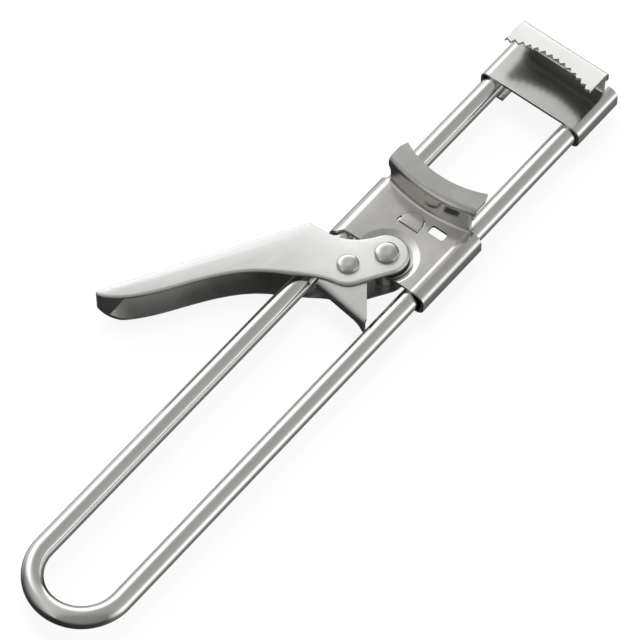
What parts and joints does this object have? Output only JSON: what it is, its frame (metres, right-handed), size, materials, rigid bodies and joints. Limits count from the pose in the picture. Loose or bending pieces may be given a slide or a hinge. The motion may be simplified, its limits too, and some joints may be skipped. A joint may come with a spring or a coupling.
{
  "type": "adjustable jar opener",
  "caption": "Adjustable jar opener: a toothed fixed jaw on a U-bent wire handle, a sliding jaw on its rods, and a folded lever with a locking pawl that drives the jaws together.",
  "frame": {"origin": "centre of the wire's round bend, the hanging loop, in the plane of the wire's centre line", "axes": "+Y along the rods to the fixed jaw, +Z the side the jaws rise on, +X away from the lever"},
  "size_m": [0.064, 0.2056, 0.0193],
  "materials": {
    "wire_steel": "polished drawn wire",
    "jaw_steel": "polished sheet",
    "slider_steel": "polished sheet with formed edges",
    "lever_steel": "light satin sheet",
    "pawl_steel": "satin sheet",
    "rivet_steel": "polished"
  },
  "bodies": {
    "frame": {"wire_frame": "wire_steel", "fixed_jaw": "jaw_steel"},
    "carriage": {"sliding_jaw": "slider_steel", "pivot_rivet": "rivet_steel", "pivot_washer": "rivet_steel", "pivot_spacer": "rivet_steel"},
    "lever": {"lever": "lever_steel", "pawl_rivet": "rivet_steel", "pawl_spacer": "rivet_steel"},
    "pawl": {"locking_pawl": "pawl_steel"}
  },
  "joints": [
    {"name": "carriage_slide", "type": "slide", "parent": "frame", "child": "carriage", "axis": [0, 1, 0], "range_m": [-0.088, 0.039]},
    {"name": "lever_pivot", "type": "hinge", "parent": "carriage", "child": "lever", "pos_m": [0.0011, 0.11484, 0], "axis": [0, 0, 1], "range_deg": [-12, 24]},
    {"name": "pawl_pivot", "type": "hinge", "parent": "lever", "child": "pawl", "pos_m": [-0.00431, 0.10628, 0], "axis": [0, 0, 1], "range_deg": [-45, 23]}
  ],
  "couplings": [
    {"joint": "pawl_pivot", "follows": "lever_pivot", "ratio": -1.86}
  ]
}
